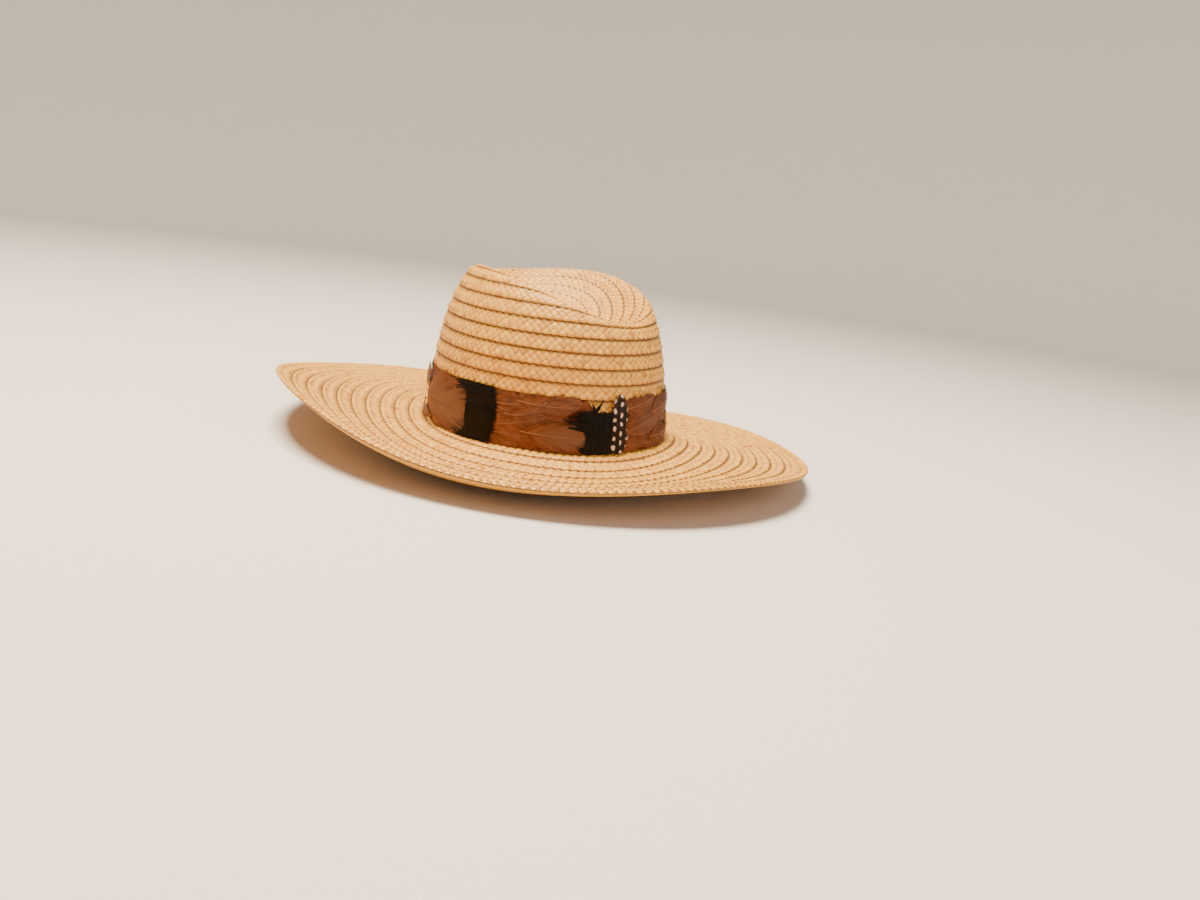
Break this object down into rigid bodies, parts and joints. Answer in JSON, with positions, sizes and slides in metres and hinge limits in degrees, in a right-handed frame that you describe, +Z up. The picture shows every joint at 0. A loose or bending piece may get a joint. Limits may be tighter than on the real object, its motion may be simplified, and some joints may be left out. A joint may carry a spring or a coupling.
{
  "type": "straw hat",
  "caption": "Wide-brimmed hat of sewn plaited straw with a dished crown, a swept brim and a hatband of brown, black and spotted feathers.",
  "frame": {"origin": "centre of the footprint, on the surface the hat rests on", "axes": "+Z up, -Y the way the wearer looks, +X the wearer's left"},
  "size_m": [0.4094, 0.426, 0.1349],
  "materials": {
    "straw_braid": "plaited natural straw, slightly glossy",
    "rust_feather": "rust-brown feather, soft sheen",
    "black_feather": "black feather, soft sheen",
    "spotted_feather": "dark feather with round white dots"
  },
  "bodies": {
    "root": {"crown": "straw_braid", "brim": "straw_braid", "rust_feather_band": "rust_feather", "black_feather": "black_feather", "barbed_black_feather": "black_feather", "spotted_feather": "spotted_feather"}
  },
  "joints": []
}
